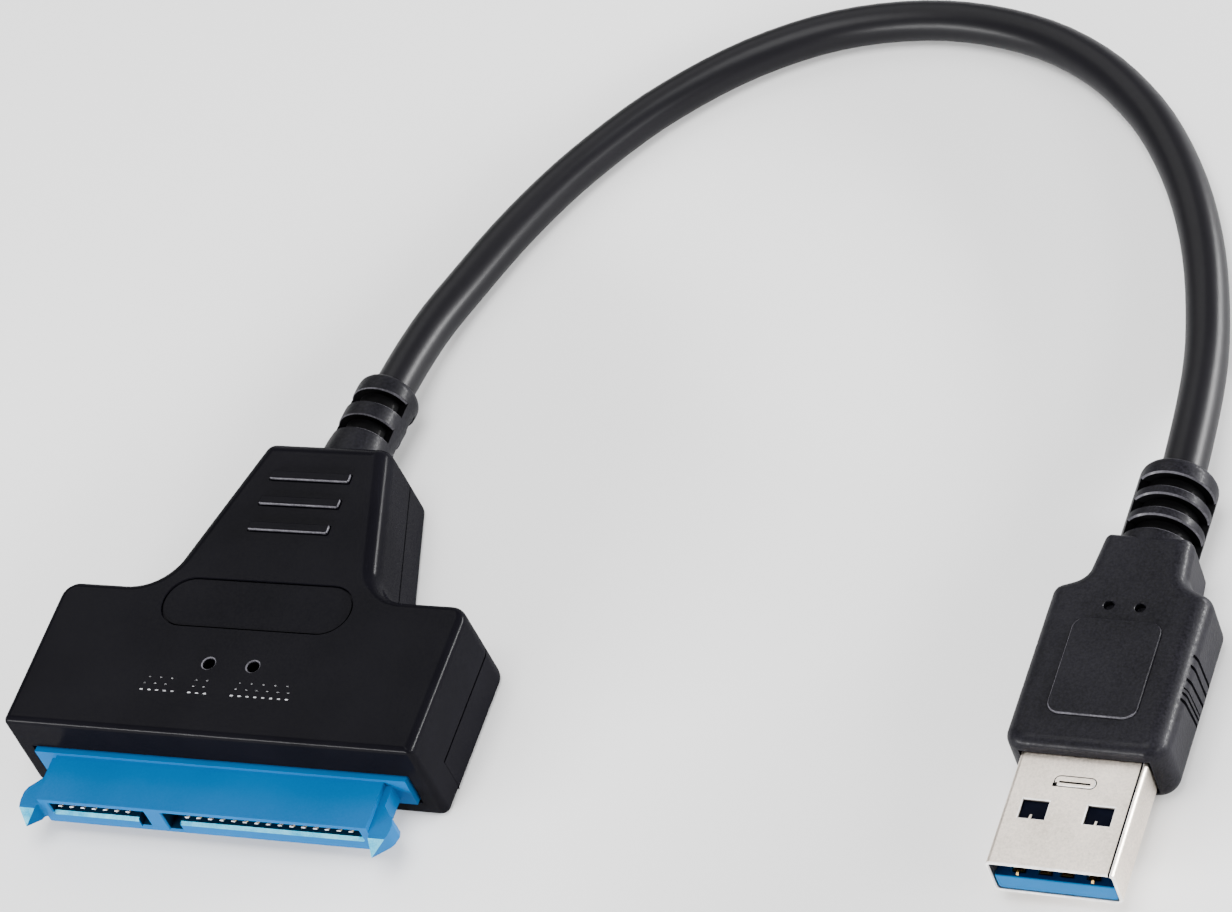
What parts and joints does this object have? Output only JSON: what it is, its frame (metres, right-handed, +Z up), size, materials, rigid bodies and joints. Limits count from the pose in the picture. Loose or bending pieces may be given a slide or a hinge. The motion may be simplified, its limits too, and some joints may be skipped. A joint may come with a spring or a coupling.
{
  "type": "usb to sata adapter",
  "caption": "Adapter cable with a black T-shaped drive connector head at one end, a USB plug at the other and moulded strain reliefs.",
  "frame": {"origin": "centre of the head's footprint on the table, sleeve and connector arms included, cable and plug left out", "axes": "+Y from the drive connector's face toward the head's cable sleeve, +Z up from the table, +X across the connector toward the side where the plug lies"},
  "size_m": [0.1162, 0.1133, 0.011],
  "materials": {
    "housing": "satin black, fine grain",
    "connector_blue": "satin blue",
    "board": "green solder mask",
    "chip": "moulded black",
    "tin": "plated can",
    "ceramic": "tan ceramic",
    "lamp": "clear white",
    "sleeve_rubber": "satin black",
    "cable_sheath": "smooth half gloss black",
    "wire_red": "smooth",
    "wire_black": "smooth",
    "wire_green": "smooth",
    "wire_white": "smooth",
    "wire_yellow": "smooth",
    "grip_rubber": "satin black, fine grain",
    "shell_nickel": "satin nickel plate",
    "tongue_blue": "smooth blue",
    "inner_mould": "off-white",
    "contact_gold": "gold plate"
  },
  "bodies": {
    "root": {"top_shell": "housing", "bottom_shell": "housing", "sata_connector": "connector_blue", "circuit_board": "board", "bridge_chip": "chip", "voltage_regulator": "chip", "inductor": "chip", "crystal": "tin", "capacitor_1": "ceramic", "capacitor_2": "ceramic", "capacitor_3": "ceramic", "capacitor_4": "ceramic", "power_led": "lamp", "activity_led": "lamp", "head_strain_relief": "sleeve_rubber", "cable": "cable_sheath", "power_wire": "wire_red", "ground_wire": "wire_black", "data_wire_plus": "wire_green", "data_wire_minus": "wire_white", "shield_wire": "wire_yellow", "plug_overmould": "grip_rubber", "plug_shell": "shell_nickel", "plug_insulator": "tongue_blue", "plug_inner_mould": "inner_mould", "signal_contact_1": "contact_gold", "signal_contact_2": "contact_gold", "signal_contact_3": "contact_gold", "signal_contact_4": "contact_gold", "signal_contact_5": "contact_gold", "signal_contact_6": "contact_gold", "signal_contact_7": "contact_gold", "power_contact_1": "contact_gold", "power_contact_2": "contact_gold", "power_contact_3": "contact_gold", "power_contact_4": "contact_gold", "power_contact_5": "contact_gold", "power_contact_6": "contact_gold", "power_contact_7": "contact_gold", "power_contact_8": "contact_gold", "power_contact_9": "contact_gold", "power_contact_10": "contact_gold", "power_contact_11": "contact_gold", "power_contact_12": "contact_gold", "power_contact_13": "contact_gold", "power_contact_14": "contact_gold", "power_contact_15": "contact_gold", "usb_contact_1": "contact_gold", "usb_contact_2": "contact_gold", "usb_contact_3": "contact_gold", "usb_contact_4": "contact_gold", "fast_contact_1": "contact_gold", "fast_contact_2": "contact_gold", "fast_contact_3": "contact_gold", "fast_contact_4": "contact_gold", "fast_contact_5": "contact_gold"}
  },
  "joints": []
}
